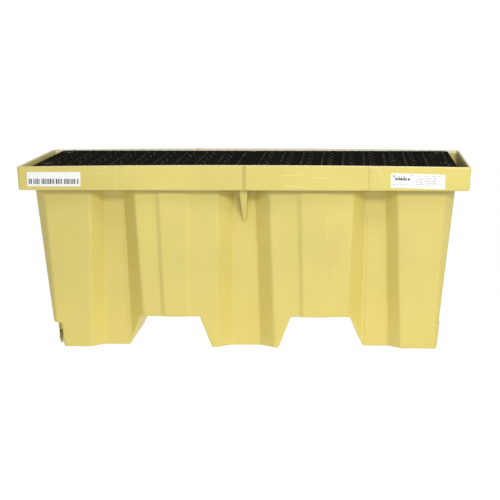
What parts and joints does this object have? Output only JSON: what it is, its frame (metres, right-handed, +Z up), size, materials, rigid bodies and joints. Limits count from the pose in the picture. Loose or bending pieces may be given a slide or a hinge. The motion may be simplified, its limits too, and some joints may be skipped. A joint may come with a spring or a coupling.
{
  "type": "spill containment pallet",
  "caption": "Low tapered plastic tub with a slotted lift-off deck that catches leaks from two drums standing in line, with fork tunnels and a screw-plugged drain.",
  "frame": {"origin": "middle of the underside, on the floor that the pallet stands on", "axes": "+X along the pallet to the right seen from the front, -Y out of the front, +Z up"},
  "size_m": [1.346, 0.737, 0.566],
  "materials": {
    "sump_polyethylene": "rotationally moulded polyethylene, pale yellow, satin",
    "grate_polyethylene": "moulded polyethylene, black",
    "post_pvc": "extruded pipe, pale grey",
    "cap_plastic": "moulded, dark grey",
    "insert_brass": "turned",
    "plug_plastic": "moulded, black",
    "gasket_rubber": "moulded rubber",
    "label_film": "printed white film"
  },
  "bodies": {
    "pallet": {"sump_body": "sump_polyethylene", "drain_insert": "insert_brass", "left_label": "label_film", "right_label": "label_film", "support_post_01": "post_pvc", "post_cap_01": "cap_plastic", "support_post_02": "post_pvc", "post_cap_02": "cap_plastic", "support_post_03": "post_pvc", "post_cap_03": "cap_plastic", "support_post_04": "post_pvc", "post_cap_04": "cap_plastic", "support_post_05": "post_pvc", "post_cap_05": "cap_plastic", "support_post_06": "post_pvc", "post_cap_06": "cap_plastic", "support_post_07": "post_pvc", "post_cap_07": "cap_plastic", "support_post_08": "post_pvc", "post_cap_08": "cap_plastic", "support_post_09": "post_pvc", "post_cap_09": "cap_plastic", "support_post_10": "post_pvc", "post_cap_10": "cap_plastic"},
    "left_grate": {"left_grate": "grate_polyethylene"},
    "right_grate": {"right_grate": "grate_polyethylene"},
    "drain_gasket": {"drain_gasket": "gasket_rubber"},
    "drain_plug": {"drain_plug": "plug_plastic"}
  },
  "joints": [
    {"name": "left_grate_lift", "type": "slide", "parent": "pallet", "child": "left_grate", "axis": [0, 0, 1], "range_m": [0, 0.15]},
    {"name": "right_grate_lift", "type": "slide", "parent": "pallet", "child": "right_grate", "axis": [0, 0, 1], "range_m": [0, 0.15]},
    {"name": "gasket_travel", "type": "slide", "parent": "pallet", "child": "drain_gasket", "axis": [-1, 0, 0], "range_m": [0, 0.03]},
    {"name": "plug_unscrew", "type": "hinge", "parent": "drain_gasket", "child": "drain_plug", "pos_m": [-0.562, -0.216, 0.031], "axis": [-1, 0, 0], "range_deg": [0, 5940]}
  ],
  "couplings": [
    {"joint": "gasket_travel", "follows": "plug_unscrew", "m_per_rad": 0.00028876}
  ]
}
